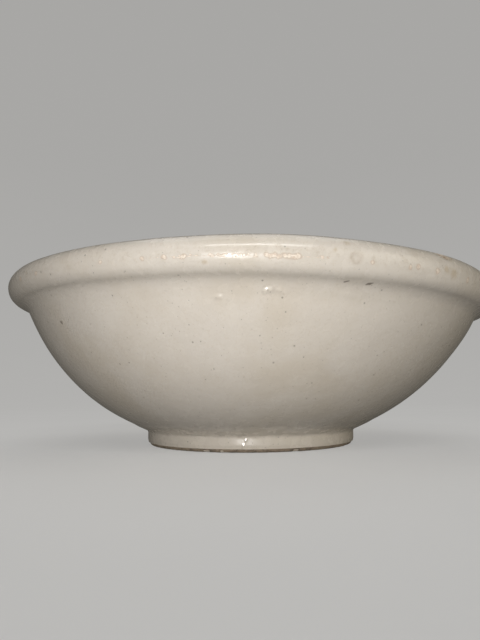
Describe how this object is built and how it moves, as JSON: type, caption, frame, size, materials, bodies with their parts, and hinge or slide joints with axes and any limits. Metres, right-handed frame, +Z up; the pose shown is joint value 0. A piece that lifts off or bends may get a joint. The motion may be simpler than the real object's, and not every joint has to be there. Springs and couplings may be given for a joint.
{
  "type": "evaporating dish",
  "caption": "Round glazed ceramic dish with a rolled rim, a deep curved wall and a low foot ring, for evaporating liquids.",
  "frame": {"origin": "centre of the foot ring's resting face, on the dish's axis", "axes": "+Z up along the dish's axis, from the foot to the rim; +X and +Y are free, because the dish is round"},
  "size_m": [0.155, 0.155, 0.0505],
  "materials": {
    "bare_clay": "bare fired clay, dry and slightly gritty",
    "cream_glaze": "warm cream-white glaze, semi-gloss, with fine dark specks"
  },
  "bodies": {
    "root": {"clay_bowl": "bare_clay", "rim_bead": "bare_clay", "foot_ring": "bare_clay", "outer_glaze": "cream_glaze", "inner_glaze": "cream_glaze", "base_glaze": "cream_glaze"}
  },
  "joints": []
}
